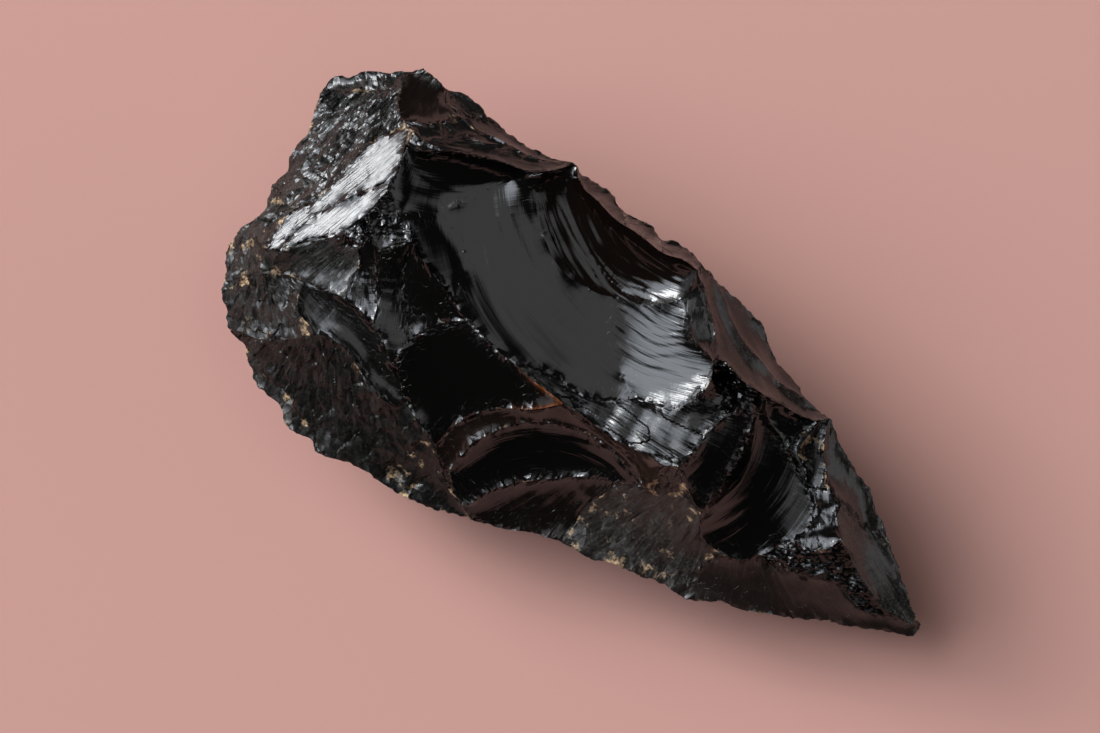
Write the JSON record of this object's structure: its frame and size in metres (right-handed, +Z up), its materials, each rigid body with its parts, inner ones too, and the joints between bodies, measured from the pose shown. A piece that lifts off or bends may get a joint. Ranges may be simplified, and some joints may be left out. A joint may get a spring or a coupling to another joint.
{
  "type": "obsidian chunk",
  "caption": "Pointed chunk of black obsidian, its top and sides made of hollow, glossy flake scars that meet in sharp ridges, resting on a flat underside.",
  "frame": {"origin": "middle of the chunk's box, at the level of the surface that it rests on", "axes": "+X along the chunk towards its tip, +Z up from the flat underside to the top scars"},
  "size_m": [0.1151, 0.0547, 0.0409],
  "materials": {
    "obsidian": "polished"
  },
  "bodies": {
    "root": {"obsidian_chunk": "obsidian"}
  },
  "joints": []
}
